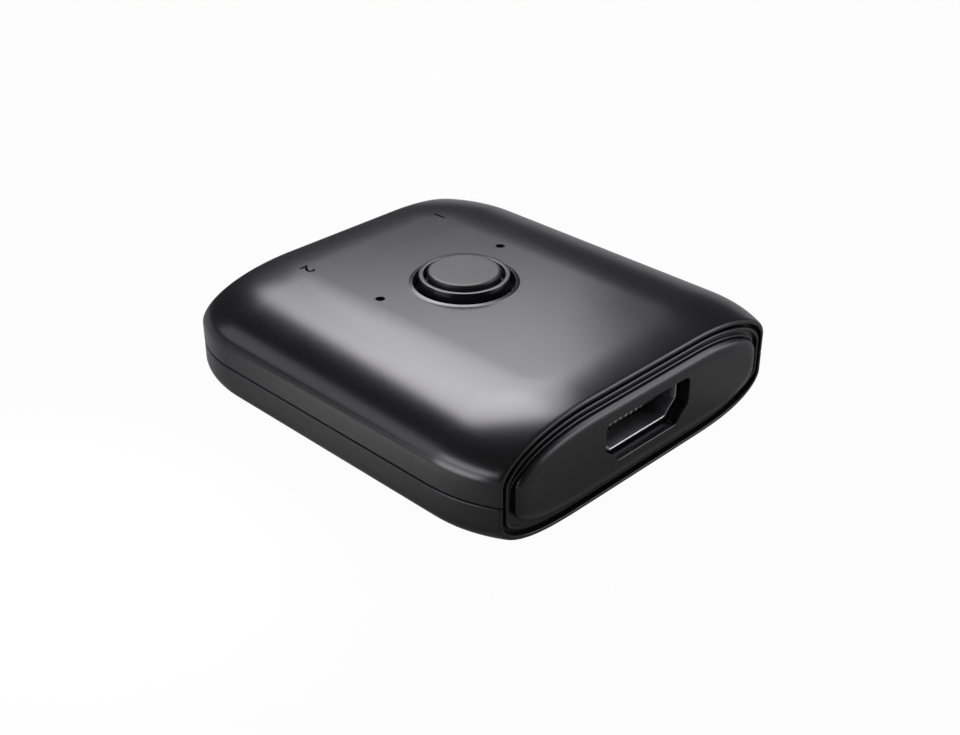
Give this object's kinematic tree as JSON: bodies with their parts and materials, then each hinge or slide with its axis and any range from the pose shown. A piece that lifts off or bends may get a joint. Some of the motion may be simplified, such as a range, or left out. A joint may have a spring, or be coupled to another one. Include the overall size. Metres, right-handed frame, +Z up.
{
  "type": "hdmi switch box",
  "caption": "Pillow-shaped HDMI switch box with a spring-return selector button and indicator dots on its lid, sockets in its end panels, and rubber feet.",
  "frame": {"origin": "under the middle of the box, on the surface that its feet stand on", "axes": "+Z up through the lid and the button, -Y out of the front panel with the single socket, +X to the right seen from the front"},
  "size_m": [0.055, 0.0574, 0.0182],
  "materials": {
    "lid_plastic": "satin charcoal, fine moulded grain",
    "tray_plastic": "satin charcoal, fine moulded grain",
    "panel_plastic": "satin charcoal",
    "cap_plastic": "satin charcoal",
    "bezel_plastic": "polished black",
    "pipe_plastic": "smoked, polished",
    "board_laminate": "solder mask",
    "chip_plastic": "moulded",
    "chip_ceramic": "fired",
    "lamp_resin": "cast",
    "socket_steel": "plated",
    "insert_plastic": "moulded",
    "contact_gold": "plated",
    "switch_plastic": "moulded",
    "switch_steel": "plated",
    "plunger_plastic": "moulded",
    "screw_steel": "zinc plated",
    "foot_rubber": "matt"
  },
  "bodies": {
    "case": {"top_shell": "lid_plastic", "bottom_shell": "tray_plastic", "front_panel": "panel_plastic", "rear_panel": "panel_plastic", "button_bezel": "bezel_plastic", "light_pipe_1": "pipe_plastic", "light_pipe_2": "pipe_plastic", "main_board": "board_laminate", "selector_chip": "chip_plastic", "surge_arrays": "chip_plastic", "chip_resistors": "chip_plastic", "chip_capacitors": "chip_ceramic", "lamp_1": "lamp_resin", "lamp_2": "lamp_resin", "front_port_shell": "socket_steel", "rear_port_1_shell": "socket_steel", "rear_port_2_shell": "socket_steel", "front_port_insert": "insert_plastic", "rear_port_1_insert": "insert_plastic", "rear_port_2_insert": "insert_plastic", "front_port_contacts": "contact_gold", "rear_port_1_contacts": "contact_gold", "rear_port_2_contacts": "contact_gold", "switch_base": "switch_plastic", "switch_cover": "switch_steel", "switch_dome": "switch_steel", "switch_terminals": "switch_steel", "case_screws": "screw_steel", "foot_front_left": "foot_rubber", "foot_front_right": "foot_rubber", "foot_rear_left": "foot_rubber", "foot_rear_right": "foot_rubber"},
    "button": {"button_cap": "cap_plastic"},
    "plunger": {"switch_plunger": "plunger_plastic"}
  },
  "joints": [
    {"name": "button_press", "type": "slide", "parent": "case", "child": "button", "axis": [0, 0, -1], "range_m": [0, 0.0006], "stiffness_N_per_m": 3000, "springref_m": -0.0003},
    {"name": "plunger_press", "type": "slide", "parent": "case", "child": "plunger", "axis": [0, 0, -1], "range_m": [0, 0.0006], "deforming": ["switch_dome"]}
  ],
  "couplings": [
    {"joint": "plunger_press", "follows": "button_press", "ratio": 1}
  ]
}
